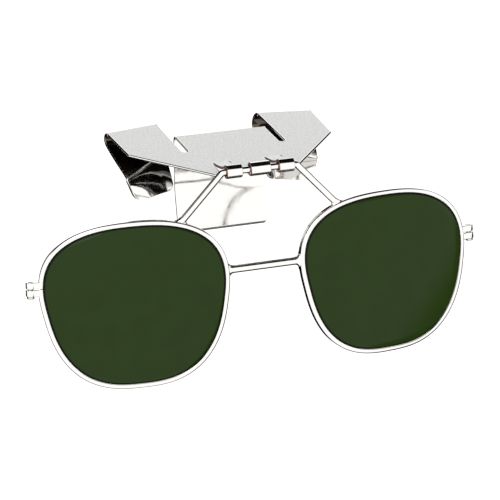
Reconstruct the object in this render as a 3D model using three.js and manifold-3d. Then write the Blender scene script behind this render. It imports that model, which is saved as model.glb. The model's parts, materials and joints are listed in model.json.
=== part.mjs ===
// Flip-up lenses that clip to the front band of a hard hat.
// A stamped steel clip holds a bent wire yoke in three curled knuckles. The yoke is brazed to two
// wire rims, joined by a bridge bar, and each rim closes on a green filter lens with a small screw.
// Frame: millimetres, +Z up, +Y towards the wearer, +X to the right as seen from the front.
// The origin lies on the rear face of the centre tongue, where the hat band is gripped.
// Left and right are as seen from the front, and the lenses hang down, as they are worn.

import * as THREE from 'three';
import { mergeVertices } from 'three/addons/utils/BufferGeometryUtils.js';
import Module from 'manifold-3d';

const wasm = await Module();
wasm.setup();

// Flat plate of the clip; depths run back from its hinge edge
const SHEET_THICKNESS = 0.8;
const HINGE_EDGE_WIDTH = 25.2;
const WING_FRONT_WIDTH = 63.2;
const WING_FRONT_DEPTH = 23.5;
const WING_BACK_WIDTH = 65.2;
const WING_OVERHANG = 12.2; // inner back corner of a wing, behind the centre bend
const WING_SWEEP = 3; // outer back corner of a wing, ahead of the inner one
const PLATE_DEPTH = 33.8; // hinge edge to the start of the centre bend
const CENTRE_WIDTH = 28.4;
const SLOT_WIDTH = 1.7;
const SLOT_LENGTH = 13.5;

// Hinge knuckles, curled from tabs on the hinge edge
const YOKE_DIAMETER = 2;
const HINGE_CLEARANCE = 0.2;
const EDGE_CLEARANCE = 0.1; // back of a knuckle to the hinge edge
const MIDDLE_TAB_WIDTH = 5.9;
const OUTER_TAB_WIDTH = 4.6;
const TAB_GAP = 2.6;
const LANCE_LENGTH = 9.5; // raised stretch of an outer tab
const LANCE_SLIT = 0.2;
const LANCE_ANGLE = 9; // slope of a raised tab at its root
const LANCE_EASE = 0.42; // how soon it steepens, as a share of its run
const MEETING_ANGLE = 40; // where a raised tab meets its curl, behind the crest
const MIDDLE_CURL_ANGLE = 265;
const OUTER_CURL_ANGLE = 240; // from the crest

// Bends and spring tongues; radii are those of the outer face
const CENTRE_BEND_RADIUS = 1.8;
const OUTER_BEND_RADIUS = 2.3; // of a side bend, at the outer edge of its wing
const INNER_BEND_RADIUS = 3.6; // and at the inner edge
const SIDE_BEND_ANGLE = 153;
const FLEX_SEAM = 0.3; // gap where a tongue flexes against its bend
const TONGUE_CLEARANCE = 0.6; // side tongue to the edge of the centre tongue
const GRIP_LENGTH = 14.7; // upright stretch of the centre tongue
const LEAD_LENGTH = 12.8; // its leaning stretch
const LEAD_ANGLE = 15;
const LIP_LENGTH = 1.1;
const LIP_ANGLE = 45;
const LIP_CORNER_RADIUS = 1.2;
const OUTER_TIP_RADIUS = 3.4;
const INNER_TIP_RADIUS = 1.4;
const OUTER_CREASE = { inset: 2.65, forward: 12.65, drop: 6.5 }; // from the outer end of the bend
const OUTER_TIP = { inset: 5, forward: 14.05, drop: 14.1 };
const INNER_CREASE = { inset: 0, forward: 7.4, drop: 3.7 }; // from the inner end of the bend
const INNER_TIP = { inset: 0, forward: 13.9, drop: 9.85 };
const OUTER_KNEE = 0.2; // how far an edge runs on from the crease, as a share of the way to the tip
const INNER_KNEE = 0.5;

// Lens frame; it hangs from the hinge axis, leaning out at the bottom
const FRAME_TILT = 11.4;
const LENS_CENTRES = 76.2;
const LENS_DROP = 35.8; // hinge axis to lens centre, down the leaning frame
const LENS_SETBACK = 4;
const EYE_WRAP = 7.5;
const EYE_WIDTH = 51.2; // lens in sight, inside the rim
const EYE_HEIGHT = 46;
const UPPER_SQUARENESS = 2.4; // exponents of the outline, 2 being an ellipse
const LOWER_SQUARENESS = 2.8;
const EYE_FLARE = 0.17; // how much wider the outline is at its top than half-way up
const BASE_CURVE = 130; // radius that lenses and rims are cupped to
const RIM_WIDTH = 1.3;
const RIM_DEPTH = 2.3;
const RIM_EDGE = 0.4; // chamfer on the outer edges
const LIP_EDGE = 0.2; // chamfer on the inner edges
const GROOVE_DEPTH = 0.8;
const GROOVE_MOUTH = 1.6;
const GROOVE_FLOOR = 0.5;
const LENS_THICKNESS = 2;
const LENS_BITE = 0.4; // lens edge inside the groove
const LENS_BEVEL = 1;
const LENS_EDGE = 0.3; // flat on the bevelled edge
const BRIDGE_DIAMETER = 2.3;
const BRIDGE_ANGLE = 164; // places round the eye outline, from the temple upwards
const FOOT_ANGLE = 119.7;
const BLOCK_ANGLE = 16.4;
const YOKE_SHOULDER = 0.95; // outer tab end to the corner of the yoke
const YOKE_BEND_RADIUS = 1.8;
const BRAZE_GAP = 0.3;

// Closing blocks and their screws
const BLOCK_REACH = 3.5; // past the rim
const BLOCK_HEIGHT = 1.9; // each half
const BLOCK_DEPTH = 2.2;
const BLOCK_SLIT = 0.3;
const BARREL_DIAMETER = 2.8;
const SCREW_DIAMETER = 1.2;
const SCREW_CLEARANCE = 0.15;
const SCREW_HEAD_DIAMETER = 2.2;
const SCREW_HEAD_HEIGHT = 0.7;
const SCREW_SLOT_WIDTH = 0.4;
const SCREW_SLOT_DEPTH = 0.35;
const SEAT_GAP = 0.3;

// Fineness of the round forms
const WIRE_SIDES = 12;
const YOKE_STEPS = 64;
const RIM_STEPS = 64;
const LENS_SEGMENTS = 48;
const BARREL_SIDES = 20;
const CURL_STEPS = 20;
const BEND_STEPS = 8;
const LOBE_STEPS = 10;
const CORNER_STEPS = 4;

const SNAP = 1e-4;
const DEG = Math.PI / 180;
const vec = (x, y, z) => new THREE.Vector3(x, y, z);

// Values that follow from the sizes above
const MID_SHEET = SHEET_THICKNESS / 2;
const CURL_INNER = YOKE_DIAMETER / 2 + HINGE_CLEARANCE;
const CURL_MID = CURL_INNER + MID_SHEET;
const HINGE_Y = -(CURL_INNER + SHEET_THICKNESS + EDGE_CLEARANCE);
const HINGE_Z = CURL_INNER;
const OUTER_TAB_START = MIDDLE_TAB_WIDTH / 2 + TAB_GAP;
const OUTER_TAB_END = OUTER_TAB_START + OUTER_TAB_WIDTH;
const CENTRE_HALF = CENTRE_WIDTH / 2;
const WING_INNER_X = CENTRE_HALF + SLOT_WIDTH;
const WING_INNER_Y = PLATE_DEPTH + WING_OVERHANG;
const WING_OUTER_X = WING_BACK_WIDTH / 2;
const WING_OUTER_Y = WING_INNER_Y - WING_SWEEP;
const GRIP_FACE_Y = PLATE_DEPTH + CENTRE_BEND_RADIUS;
const GRIP_TOP_Z = -(CENTRE_BEND_RADIUS + FLEX_SEAM);

const plated = { color: 0xdadad8, metalness: 1, roughness: 0.2 };
const satinPlated = { color: 0xd2d2d0, metalness: 1, roughness: 0.35 };
const screwSteel = { color: 0xb9b7b2, metalness: 1, roughness: 0.3 };
const filterGlass = { color: 0x314023, metalness: 0, roughness: 0.08 };

function piece(name, geometry, finish) {
  geometry.computeVertexNormals();
  const mesh = new THREE.Mesh(geometry, new THREE.MeshStandardMaterial(finish));
  mesh.name = name;
  return mesh;
}

// Keeps only positions, snapped to a fine grid so that flush faces are exactly flush, shares them
// between neighbouring faces, and drops faces that have no area.
function welded(geometry) {
  const bare = geometry.clone();
  bare.deleteAttribute('normal');
  bare.deleteAttribute('uv');
  const coordinates = bare.attributes.position.array;
  coordinates.forEach((value, i) => {
    coordinates[i] = Math.round(value / SNAP) * SNAP;
  });
  const merged = mergeVertices(bare, SNAP / 2);
  const kept = [];
  const index = merged.index.array;
  for (let i = 0; i < index.length; i += 3) {
    const [a, b, c] = index.slice(i, i + 3);
    if (a !== b && b !== c && c !== a) kept.push(a, b, c);
  }
  merged.setIndex(kept);
  return merged;
}

function toSolid(geometry) {
  const bare = welded(geometry);
  const vertProperties = new Float32Array(bare.attributes.position.array);
  const triVerts = new Uint32Array(bare.index.array);
  return new wasm.Manifold(new wasm.Mesh({ numProp: 3, vertProperties, triVerts }));
}

function toGeometry(solid) {
  const mesh = solid.getMesh();
  const geometry = new THREE.BufferGeometry();
  geometry.setAttribute('position', new THREE.BufferAttribute(mesh.vertProperties, 3));
  geometry.setIndex(new THREE.BufferAttribute(mesh.triVerts, 1));
  return geometry;
}

function joined(first, ...rest) {
  return toGeometry(rest.reduce((sum, shape) => sum.add(toSolid(shape)), toSolid(first)));
}

function cut(first, ...rest) {
  return toGeometry(rest.reduce((left, shape) => left.subtract(toSolid(shape)), toSolid(first)));
}

function mirrored(geometry) {
  const copy = welded(geometry);
  copy.scale(-1, 1, 1);
  copy.setIndex(Array.from(copy.index.array).reverse());
  return copy;
}

const onSide = (geometry, side) => (side < 0 ? mirrored(geometry) : welded(geometry));

// A bent sheet between two edge rails, whose points lie on the middle of its thickness. Its faces
// follow the runs, the direction of the sheet at each pair of points, or else the rails themselves.
// Both faces are split the same way, so that a twisted sheet keeps its thickness.
function bentSheet(railA, railB, runs) {
  const positions = [];
  const index = [];
  const last = railA.length - 1;
  const alongRail = (rail, i) => rail[Math.min(i + 1, last)].clone().sub(rail[Math.max(i - 1, 0)]);
  const offsetAt = (rail, i, across) => {
    const run = runs ? runs[i].clone() : alongRail(rail, i);
    return run.cross(across).setLength(MID_SHEET);
  };
  for (let i = 0; i <= last; i++) {
    const across = railB[i].clone().sub(railA[i]);
    const offsetA = offsetAt(railA, i, across);
    const offsetB = offsetAt(railB, i, across);
    const ring = [
      railA[i].clone().add(offsetA),
      railB[i].clone().add(offsetB),
      railB[i].clone().sub(offsetB),
      railA[i].clone().sub(offsetA),
    ];
    ring.forEach((point) => positions.push(point.x, point.y, point.z));
  }
  for (let i = 0; i < last; i++) {
    for (let j = 0; j < 4; j++) {
      const near = 4 * i + j;
      const nearNext = 4 * i + ((j + 1) % 4);
      if (j === 2) {
        index.push(near, near + 4, nearNext, nearNext, near + 4, nearNext + 4);
      } else {
        index.push(near, near + 4, nearNext + 4, near, nearNext + 4, nearNext);
      }
    }
  }
  const end = 4 * last;
  index.push(0, 1, 2, 0, 2, 3, end, end + 2, end + 1, end, end + 3, end + 2);
  const geometry = new THREE.BufferGeometry();
  geometry.setAttribute('position', new THREE.Float32BufferAttribute(positions, 3));
  geometry.setIndex(index);
  return geometry;
}

// A strip of constant section, straight across in X: each step of its path has a place and a run.
function bentStrip(path, fromX, toX) {
  const rail = (x) => path.map(({ y, z }) => vec(x, y, z));
  return bentSheet(rail(fromX), rail(toX), path.map(({ run }) => vec(0, run[0], run[1])));
}

function pointFromEnd(rail, distance) {
  let i = rail.length - 1;
  let remaining = distance;
  while (i > 1 && remaining > rail[i].distanceTo(rail[i - 1])) {
    remaining -= rail[i].distanceTo(rail[i - 1]);
    i -= 1;
  }
  return rail[i].clone().lerp(rail[i - 1], remaining / rail[i].distanceTo(rail[i - 1]));
}

const lengthToEnd = (rail, i) =>
  rail.slice(i + 1).reduce((sum, point, j) => sum + point.distanceTo(rail[i + j]), 0);

// Rounds the free corners of a sheet by drawing its last stretch in from both rails.
function roundedEnd(railA, railB, radiusA, radiusB) {
  const reach = Math.max(radiusA, radiusB);
  const clear = railA.map((_, i) => lengthToEnd(railA, i) > reach && lengthToEnd(railB, i) > reach);
  const roundedA = railA.filter((_, i) => clear[i]);
  const roundedB = railB.filter((_, i) => clear[i]);
  const inset = (radius, back) => radius - Math.sqrt(radius ** 2 - Math.max(radius - back, 0) ** 2);
  for (let i = 0; i <= CORNER_STEPS; i++) {
    const back = reach * (1 - Math.sin((i / CORNER_STEPS) * 90 * DEG));
    const pointA = pointFromEnd(railA, back);
    const pointB = pointFromEnd(railB, back);
    const across = pointB.clone().sub(pointA).normalize();
    roundedA.push(pointA.addScaledVector(across, inset(radiusA, back)));
    roundedB.push(pointB.addScaledVector(across, -inset(radiusB, back)));
  }
  return [roundedA, roundedB];
}

// Flat plate: two raked wings either side of a centre panel, notched where the outer tabs are raised
function flatPlate() {
  const slotX = CENTRE_HALF + SLOT_WIDTH / 2;
  const slotEndY = PLATE_DEPTH - SLOT_LENGTH + SLOT_WIDTH / 2;
  const half = new THREE.Path();
  half.moveTo(OUTER_TAB_START - LANCE_SLIT, 0);
  half.lineTo(OUTER_TAB_START - LANCE_SLIT, LANCE_LENGTH);
  half.lineTo(OUTER_TAB_END + LANCE_SLIT, LANCE_LENGTH);
  half.lineTo(OUTER_TAB_END + LANCE_SLIT, 0);
  half.lineTo(HINGE_EDGE_WIDTH / 2, 0);
  half.lineTo(WING_FRONT_WIDTH / 2, WING_FRONT_DEPTH);
  half.lineTo(WING_OUTER_X, WING_OUTER_Y);
  half.lineTo(WING_INNER_X, WING_INNER_Y);
  half.absarc(slotX, slotEndY, SLOT_WIDTH / 2, 0, -Math.PI, true);
  half.lineTo(CENTRE_HALF, PLATE_DEPTH);
  const right = half.getPoints(CORNER_STEPS);
  const left = right.map((point) => new THREE.Vector2(-point.x, point.y)).reverse();
  const plate = new THREE.ExtrudeGeometry(new THREE.Shape([...right, ...left]), {
    depth: SHEET_THICKNESS,
    bevelEnabled: false,
  });
  plate.translate(0, 0, -SHEET_THICKNESS);
  return plate;
}

// The middle tab runs on flat and curls up and back over the wire.
function middleTab() {
  const path = [{ y: SHEET_THICKNESS, z: -MID_SHEET, run: [-1, 0] }];
  for (let i = 0; i <= CURL_STEPS; i++) {
    const turn = (i / CURL_STEPS) * MIDDLE_CURL_ANGLE * DEG;
    const [sin, cos] = [Math.sin(turn), Math.cos(turn)];
    path.push({ y: HINGE_Y - CURL_MID * sin, z: HINGE_Z - CURL_MID * cos, run: [-cos, sin] });
  }
  return bentStrip(path, -MIDDLE_TAB_WIDTH / 2, MIDDLE_TAB_WIDTH / 2);
}

// An outer tab is lanced from the plate, rises over the wire and curls down and back under it.
function outerTab(side) {
  const curlPoint = (turn) => new THREE.Vector2(
    HINGE_Y - CURL_MID * Math.sin(turn),
    HINGE_Z + CURL_MID * Math.cos(turn),
  );
  const meeting = -MEETING_ANGLE * DEG;
  const root = new THREE.Vector2(LANCE_LENGTH, -MID_SHEET);
  const meet = curlPoint(meeting);
  const reach = LANCE_EASE * (root.x - meet.x);
  const rootHandle = new THREE.Vector2(-reach, reach * Math.tan(LANCE_ANGLE * DEG)).add(root);
  const meetHandle = new THREE.Vector2(Math.cos(meeting), Math.sin(meeting));
  meetHandle.multiplyScalar(reach / 2).add(meet);
  const rise = new THREE.CubicBezierCurve(root, rootHandle, meetHandle, meet);
  const path = [LANCE_LENGTH + SHEET_THICKNESS, LANCE_LENGTH].map((y) => (
    { y, z: -MID_SHEET, run: [-1, 0] }
  ));
  for (let i = 1; i < BEND_STEPS; i++) {
    const point = rise.getPoint(i / BEND_STEPS);
    path.push({ y: point.x, z: point.y, run: rise.getTangent(i / BEND_STEPS).toArray() });
  }
  for (let i = 0; i <= CURL_STEPS; i++) {
    const turn = THREE.MathUtils.lerp(meeting, OUTER_CURL_ANGLE * DEG, i / CURL_STEPS);
    const point = curlPoint(turn);
    path.push({ y: point.x, z: point.y, run: [-Math.cos(turn), -Math.sin(turn)] });
  }
  return onSide(bentStrip(path, OUTER_TAB_START, OUTER_TAB_END), side);
}

function centreBend() {
  const radius = CENTRE_BEND_RADIUS - MID_SHEET;
  const path = [{ y: PLATE_DEPTH - SHEET_THICKNESS, z: -MID_SHEET, run: [1, 0] }];
  for (let i = 0; i <= BEND_STEPS; i++) {
    const turn = (i / BEND_STEPS) * 90 * DEG;
    const [sin, cos] = [Math.sin(turn), Math.cos(turn)];
    path.push({ y: PLATE_DEPTH + radius * sin, z: radius * cos - CENTRE_BEND_RADIUS, run: [cos, -sin] });
  }
  return bentStrip(path, -CENTRE_HALF, CENTRE_HALF);
}

// The wings' bend lines run at a slant. Each bend opens out towards its inner edge, which draws in
// towards the centre tongue over the first two thirds of the bend.
const wingBack = vec(WING_SWEEP, WING_OUTER_X - WING_INNER_X, 0).normalize();
const wingAcross = vec(wingBack.y, -wingBack.x, 0);
const innerEdge = { corner: vec(WING_INNER_X, WING_INNER_Y, 0), radius: INNER_BEND_RADIUS, flare: 0 };
const outerEdge = { corner: vec(WING_OUTER_X, WING_OUTER_Y, 0), radius: OUTER_BEND_RADIUS, flare: 0 };
innerEdge.flare = sideBendPoint(innerEdge, SIDE_BEND_ANGLE * DEG).x - (CENTRE_HALF + TONGUE_CLEARANCE);

function sideBendPoint({ corner, radius, flare }, turn) {
  const point = corner.clone().addScaledVector(wingBack, (radius - MID_SHEET) * Math.sin(turn));
  point.x -= flare * THREE.MathUtils.smoothstep(turn, 0, (2 / 3) * SIDE_BEND_ANGLE * DEG);
  point.z = (radius - MID_SHEET) * Math.cos(turn) - radius;
  return point;
}

const sideBendRun = (turn) => wingBack.clone().multiplyScalar(Math.cos(turn)).setZ(-Math.sin(turn));

function sideBend(side) {
  const turns = [];
  for (let i = 0; i <= 2 * BEND_STEPS; i++) {
    turns.push((i / (2 * BEND_STEPS)) * SIDE_BEND_ANGLE * DEG);
  }
  const rails = [[innerEdge, 1], [outerEdge, -1]].map(([edge, inward]) => {
    const start = sideBendPoint(edge, 0).addScaledVector(wingBack, -SHEET_THICKNESS);
    start.addScaledVector(wingAcross, inward * MID_SHEET);
    return [start, ...turns.map((turn) => sideBendPoint(edge, turn))];
  });
  return onSide(bentSheet(rails[0], rails[1], [0, ...turns].map(sideBendRun)), side);
}

// One edge of a side tongue: it runs on from the bend to a crease, then turns down to the tip.
function tongueEdge(edge, crease, tip, knee) {
  const turn = SIDE_BEND_ANGLE * DEG;
  const bendEnd = sideBendPoint(edge, turn);
  const start = bendEnd.clone().addScaledVector(sideBendRun(turn), FLEX_SEAM);
  const [creasePoint, tipPoint] = [crease, tip].map(({ inset, forward, drop }) =>
    bendEnd.clone().sub(vec(inset, forward, drop)));
  const runOn = creasePoint.clone().sub(bendEnd).setLength(knee * creasePoint.distanceTo(tipPoint));
  const kneePoint = creasePoint.clone().add(runOn);
  const lobe = new THREE.QuadraticBezierCurve3(creasePoint, kneePoint, tipPoint);
  return [start, ...lobe.getPoints(LOBE_STEPS)];
}

// A side tongue runs forward and down from its bend, and turns down more steeply at its outer edge.
function sideTongue(side) {
  const inner = tongueEdge(innerEdge, INNER_CREASE, INNER_TIP, INNER_KNEE);
  const outer = tongueEdge(outerEdge, OUTER_CREASE, OUTER_TIP, OUTER_KNEE);
  const [railA, railB] = roundedEnd(inner, outer, INNER_TIP_RADIUS, OUTER_TIP_RADIUS);
  return onSide(bentSheet(railA, railB), side);
}

// The centre tongue hangs straight down, leans forward to lead the band in, and ends in a lip.
function centreTongue() {
  const path = [[GRIP_FACE_Y - MID_SHEET, GRIP_TOP_Z]];
  for (const [length, angle] of [[GRIP_LENGTH, 0], [LEAD_LENGTH, LEAD_ANGLE], [LIP_LENGTH, LIP_ANGLE]]) {
    const [y, z] = path.at(-1);
    path.push([y - length * Math.sin(angle * DEG), z - length * Math.cos(angle * DEG)]);
  }
  const rail = (x) => path.map(([y, z]) => vec(x, y, z));
  const [railA, railB] = roundedEnd(
    rail(-CENTRE_HALF),
    rail(CENTRE_HALF),
    LIP_CORNER_RADIUS,
    LIP_CORNER_RADIUS,
  );
  return bentSheet(railA, railB);
}

// Outline of the lens in sight, in the plane of one eye: x towards the temple, z up
class EyeOutline extends THREE.Curve {
  constructor(startAngle, endAngle) {
    super();
    this.startAngle = startAngle;
    this.endAngle = endAngle;
  }

  getPoint(t, target = new THREE.Vector3()) {
    const angle = THREE.MathUtils.lerp(this.startAngle, this.endAngle, t);
    const squareness = Math.sin(angle) > 0 ? UPPER_SQUARENESS : LOWER_SQUARENESS;
    const wide = Math.abs(Math.cos(angle) / (EYE_WIDTH / 2)) ** squareness;
    const tall = Math.abs(Math.sin(angle) / (EYE_HEIGHT / 2)) ** squareness;
    const reach = (wide + tall) ** (-1 / squareness);
    const z = reach * Math.sin(angle);
    const flare = 1 + (EYE_FLARE * z) / (EYE_HEIGHT / 2);
    return target.set(reach * Math.cos(angle) * flare, 0, z);
  }
}

const fullOutline = new EyeOutline(0, 2 * Math.PI);
const MEAN_EYE_RADIUS = (EYE_WIDTH + EYE_HEIGHT) / 4;

// Lenses and rims are cupped: a point moves back as it leaves the middle of the eye.
const sagAt = (radius) => BASE_CURVE - Math.sqrt(BASE_CURVE ** 2 - radius ** 2);
const cupAt = (x, z) => sagAt(Math.hypot(x, z)) - sagAt(MEAN_EYE_RADIUS);

function cupped(geometry) {
  const points = geometry.attributes.position;
  for (let i = 0; i < points.count; i++) {
    points.setY(i, points.getY(i) + cupAt(points.getX(i), points.getZ(i)));
  }
  return geometry;
}

// A place half-way back on the rim, at a distance out from the edge of the lens in sight
function rimPlace(angleInDegrees, out) {
  const angle = angleInDegrees * DEG;
  const t = angle / (2 * Math.PI);
  const run = fullOutline.getTangent(t);
  const outward = vec(run.z, 0, -run.x);
  const point = fullOutline.getPoint(t).addScaledVector(outward, out);
  point.y = cupAt(point.x, point.z);
  return { point, outward, run };
}

// The rim is a grooved wire, split at its closing block.
function sweptRim(section) {
  const halfSlit = BLOCK_SLIT / 2 / (EYE_WIDTH / 2);
  const start = BLOCK_ANGLE * DEG + halfSlit;
  const path = new EyeOutline(start, start + 2 * (Math.PI - halfSlit));
  const shape = new THREE.Shape(section.map(([depth, out]) => new THREE.Vector2(depth, out)));
  return cupped(new THREE.ExtrudeGeometry(shape, { extrudePath: path, steps: RIM_STEPS }));
}

function rim() {
  const depth = RIM_DEPTH / 2;
  const front = [
    [GROOVE_FLOOR / 2, GROOVE_DEPTH],
    [GROOVE_MOUTH / 2, 0],
    [depth - LIP_EDGE, 0],
    [depth, LIP_EDGE],
    [depth, RIM_WIDTH - RIM_EDGE],
    [depth - RIM_EDGE, RIM_WIDTH],
  ];
  const back = front.map(([along, out]) => [-along, out]).reverse();
  return sweptRim([...front, ...back]);
}

// The space a rim and its brazing gap take up, deep enough to cope the end of any wire that meets it
function rimEnvelope() {
  const depth = (RIM_DEPTH + YOKE_DIAMETER + BRIDGE_DIAMETER) / 2;
  const outer = RIM_WIDTH + BRAZE_GAP;
  return sweptRim([[depth, -BRAZE_GAP], [depth, outer], [-depth, outer], [-depth, -BRAZE_GAP]]);
}

// The lens is turned as a round disc with a bevelled edge, stretched to the eye outline and cupped.
function lens() {
  const bite = 1 + LENS_BITE / MEAN_EYE_RADIUS;
  const shoulder = 1 + (LENS_BITE - LENS_BEVEL) / MEAN_EYE_RADIUS;
  const rings = [0, 1 / 3, 2 / 3, shoulder].map((share) => [share, LENS_THICKNESS / 2]);
  rings.push([bite, LENS_EDGE / 2]);
  const profile = [...rings, ...rings.map(([share, face]) => [share, -face]).reverse()];
  const disc = new THREE.LatheGeometry(profile.map(([r, y]) => new THREE.Vector2(r, -y)), LENS_SEGMENTS);
  const points = disc.attributes.position;
  for (let i = 0; i < points.count; i++) {
    const x = points.getX(i);
    const z = points.getZ(i);
    const share = Math.hypot(x, z);
    const turn = (Math.atan2(z, x) / (2 * Math.PI) + 1) % 1;
    const edge = fullOutline.getPoint(turn).multiplyScalar(share);
    points.setXYZ(i, edge.x, points.getY(i), edge.z);
  }
  return cupped(disc);
}

// Frame of the closing block: x out from the rim, z along it, at the edge of the lens in sight
function atBlock(geometry) {
  const { point, outward, run } = rimPlace(BLOCK_ANGLE, 0);
  const place = new THREE.Matrix4().makeBasis(outward, vec(0, 1, 0), run);
  return geometry.applyMatrix4(place.setPosition(point));
}

function uprightCylinder(diameter, height) {
  return new THREE.CylinderGeometry(diameter / 2, diameter / 2, height, BARREL_SIDES).rotateX(90 * DEG);
}

const BARREL_X = RIM_WIDTH + BLOCK_REACH - BARREL_DIAMETER / 2;
const BLOCK_END = BLOCK_SLIT / 2 + BLOCK_HEIGHT;

// One half of a closing block: a flat tab brazed to the rim, with a bored barrel at its end
function blockHalf(up) {
  const middle = up * (BLOCK_SLIT + BLOCK_HEIGHT) / 2;
  const tabStart = RIM_WIDTH + BRAZE_GAP;
  const tabLength = BARREL_X - tabStart;
  const tab = new THREE.BoxGeometry(tabLength, BLOCK_DEPTH, BLOCK_HEIGHT);
  tab.translate(tabStart + tabLength / 2, 0, middle);
  const barrel = uprightCylinder(BARREL_DIAMETER, BLOCK_HEIGHT).translate(BARREL_X, 0, middle);
  const bore = uprightCylinder(SCREW_DIAMETER + 2 * SCREW_CLEARANCE, 3 * BLOCK_END);
  bore.translate(BARREL_X, 0, 0);
  return atBlock(cut(joined(tab, barrel), bore));
}

// The screw comes up from below, its slotted head under the lower half.
function closingScrew() {
  const headTop = -(BLOCK_END + SEAT_GAP);
  const headBottom = headTop - SCREW_HEAD_HEIGHT;
  const profile = [
    [0, headBottom],
    [SCREW_HEAD_DIAMETER / 2, headBottom],
    [SCREW_HEAD_DIAMETER / 2, headTop],
    [SCREW_DIAMETER / 2, headTop],
    [SCREW_DIAMETER / 2, BLOCK_END],
    [0, BLOCK_END],
  ];
  const turned = new THREE.LatheGeometry(profile.map(([r, z]) => new THREE.Vector2(r, z)), BARREL_SIDES);
  turned.rotateX(90 * DEG);
  const slot = new THREE.BoxGeometry(2 * SCREW_HEAD_DIAMETER, SCREW_SLOT_WIDTH, 2 * SCREW_SLOT_DEPTH);
  slot.translate(0, 0, headBottom);
  return atBlock(cut(turned, slot).translate(BARREL_X, 0, 0));
}

// Place of one eye in the lens frame, whose origin is on the hinge axis
function eyeGroup(side) {
  const group = new THREE.Group();
  group.position.set(side * LENS_CENTRES / 2, LENS_SETBACK, -LENS_DROP);
  group.rotation.z = side * EYE_WRAP * DEG;
  group.updateMatrix();
  return group;
}

function inFrame(angle, side) {
  const { point } = rimPlace(angle, RIM_WIDTH / 2);
  point.x *= side;
  return point.applyMatrix4(eyeGroup(side).matrix);
}

function rimEnvelopes() {
  return [-1, 1].map((side) => onSide(rimEnvelope(), side).applyMatrix4(eyeGroup(side).matrix));
}

// A round wire along a path, its ends coped to the rims
function brazedWire(path, diameter, steps) {
  const wire = new THREE.ExtrudeGeometry(roundSection(diameter), { extrudePath: path, steps });
  return cut(wire, ...rimEnvelopes());
}

function roundSection(diameter) {
  const points = [];
  for (let i = 0; i < WIRE_SIDES; i++) {
    const turn = (i / WIRE_SIDES) * 2 * Math.PI;
    points.push(new THREE.Vector2(Math.cos(turn), Math.sin(turn)).multiplyScalar(diameter / 2));
  }
  return new THREE.Shape(points);
}

// The yoke is one wire: a straight hinge bar with two arms splayed down to the rims.
function yoke() {
  const cornerX = OUTER_TAB_END + YOKE_SHOULDER;
  const feet = [-1, 1].map((side) => inFrame(FOOT_ANGLE, side));
  const corners = [feet[0], vec(-cornerX, 0, 0), vec(cornerX, 0, 0), feet[1]];
  const path = new THREE.CurvePath();
  let from = corners[0];
  for (const i of [1, 2]) {
    const back = corners[i - 1].clone().sub(corners[i]).normalize();
    const ahead = corners[i + 1].clone().sub(corners[i]).normalize();
    const turn = Math.PI - back.angleTo(ahead);
    const reach = YOKE_BEND_RADIUS * Math.tan(turn / 2);
    const bendStart = corners[i].clone().addScaledVector(back, reach);
    const bendEnd = corners[i].clone().addScaledVector(ahead, reach);
    path.add(new THREE.LineCurve3(from, bendStart));
    path.add(new THREE.QuadraticBezierCurve3(bendStart, corners[i], bendEnd));
    from = bendEnd;
  }
  path.add(new THREE.LineCurve3(from, corners[3]));
  return brazedWire(path, YOKE_DIAMETER, YOKE_STEPS);
}

function bridge() {
  const path = new THREE.LineCurve3(inFrame(BRIDGE_ANGLE, -1), inFrame(BRIDGE_ANGLE, 1));
  return brazedWire(path, BRIDGE_DIAMETER, 1);
}

const sides = [['left', -1], ['right', 1]];

const clip = new THREE.Group();
const tabs = [middleTab(), outerTab(-1), outerTab(1)];
const bends = [centreBend(), sideBend(-1), sideBend(1)];
clip.add(piece('clip_plate', joined(flatPlate(), ...tabs, ...bends), satinPlated));
clip.add(piece('centre_tongue', centreTongue(), plated));
for (const [name, side] of sides) {
  clip.add(piece(`${name}_side_tongue`, sideTongue(side), plated));
}

const lensFrame = new THREE.Group();
lensFrame.position.set(0, HINGE_Y, HINGE_Z);
lensFrame.rotation.x = -FRAME_TILT * DEG;
lensFrame.add(piece('hinge_yoke', yoke(), plated));
lensFrame.add(piece('bridge_bar', bridge(), plated));
for (const [name, side] of sides) {
  const eye = eyeGroup(side);
  eye.add(piece(`${name}_rim`, onSide(rim(), side), plated));
  eye.add(piece(`${name}_lens`, onSide(lens(), side), filterGlass));
  eye.add(piece(`${name}_upper_closing_block`, onSide(blockHalf(1), side), plated));
  eye.add(piece(`${name}_lower_closing_block`, onSide(blockHalf(-1), side), plated));
  eye.add(piece(`${name}_closing_screw`, onSide(closingScrew(), side), screwSteel));
  lensFrame.add(eye);
}

const clipOnLenses = new THREE.Group();
clipOnLenses.add(clip, lensFrame);
clipOnLenses.position.set(0, -GRIP_FACE_Y, GRIP_LENGTH / 2 - GRIP_TOP_Z);

export default clipOnLenses;
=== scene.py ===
import json
import math

import bmesh
import bpy
import numpy as np
from mathutils import Matrix, Vector


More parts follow.
